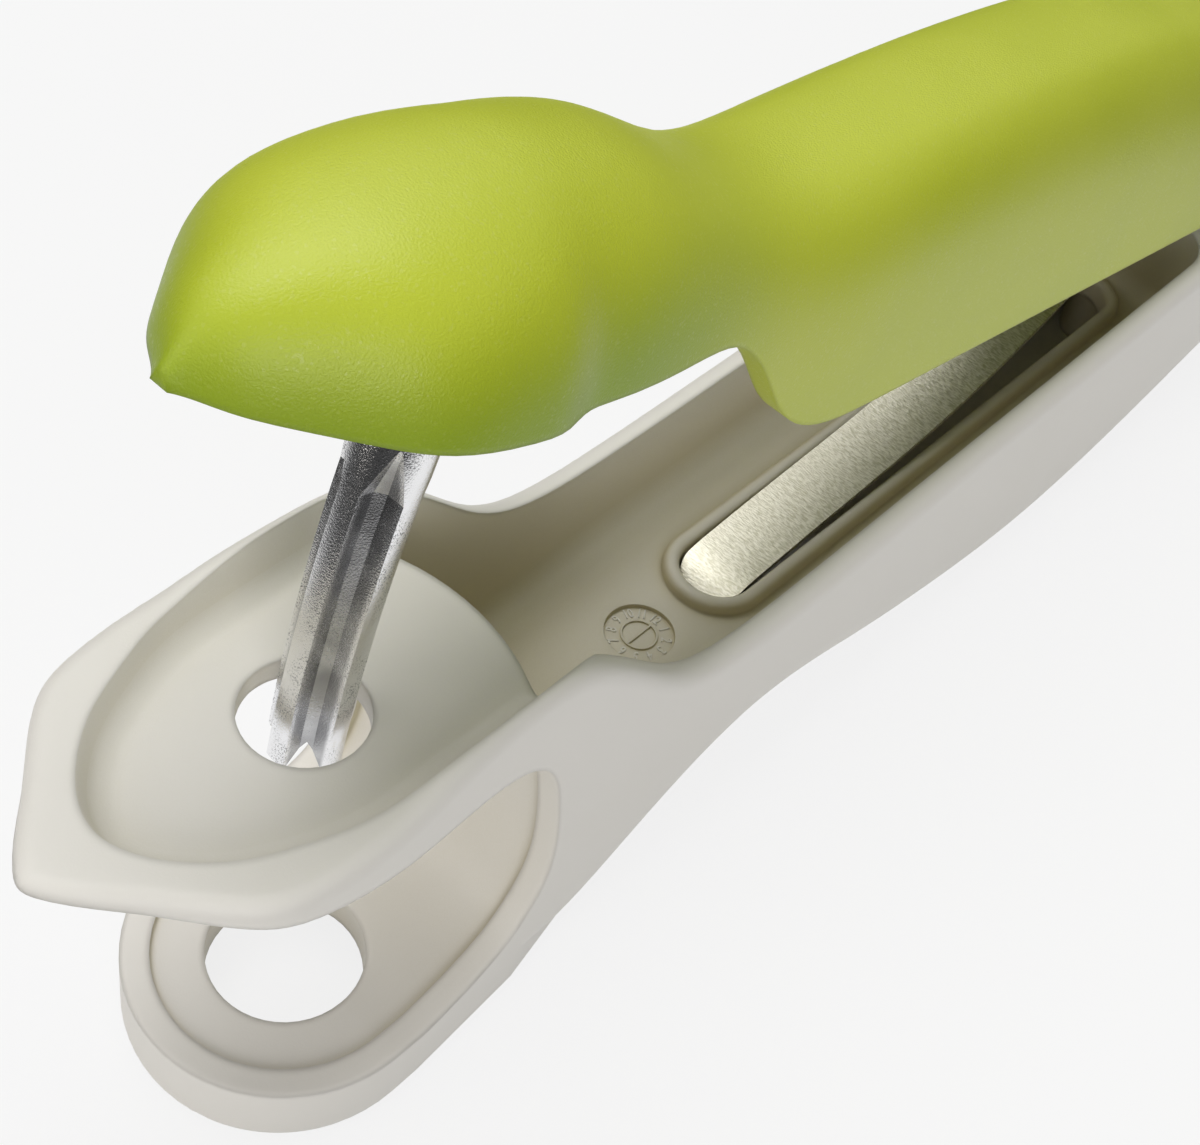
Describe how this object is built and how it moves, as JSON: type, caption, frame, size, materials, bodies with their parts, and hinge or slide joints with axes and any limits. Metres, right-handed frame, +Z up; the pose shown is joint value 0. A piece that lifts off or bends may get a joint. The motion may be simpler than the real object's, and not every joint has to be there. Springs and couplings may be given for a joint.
{
  "type": "olive pitter",
  "caption": "Hand-held olive pitter: hinged lever with a curved fluted punch over a body with an olive dish, a ringed stone plate and a leaf spring in its channel.",
  "frame": {"origin": "middle of the bottom of the bounding box, on the plane the body rests on", "axes": "+X from the beak of the dish to the hinge end, +Z up from the rest plane, +Y across the handle"},
  "size_m": [0.1863, 0.0288, 0.0911],
  "materials": {
    "cream_plastic": "satin",
    "green_plastic": "satin",
    "chrome_steel": "cast, polished",
    "spring_steel": "brushed across",
    "pin_steel": "ground"
  },
  "bodies": {
    "base": {"lower_body": "cream_plastic", "spring_cover": "cream_plastic", "cover_screw": "pin_steel", "leaf_spring": "spring_steel", "spring_rivet": "pin_steel", "hinge_pin": "pin_steel"},
    "lever": {"top_lever": "green_plastic", "punch_rod": "chrome_steel"}
  },
  "joints": [
    {"name": "lever_hinge", "type": "hinge", "parent": "base", "child": "lever", "pos_m": [0.0796, 0, 0.0214], "axis": [0, 1, 0], "range_deg": [-12.4, 8.5], "stiffness_Nm_per_rad": 3, "springref_deg": 0.38, "deforming": ["leaf_spring"]}
  ]
}
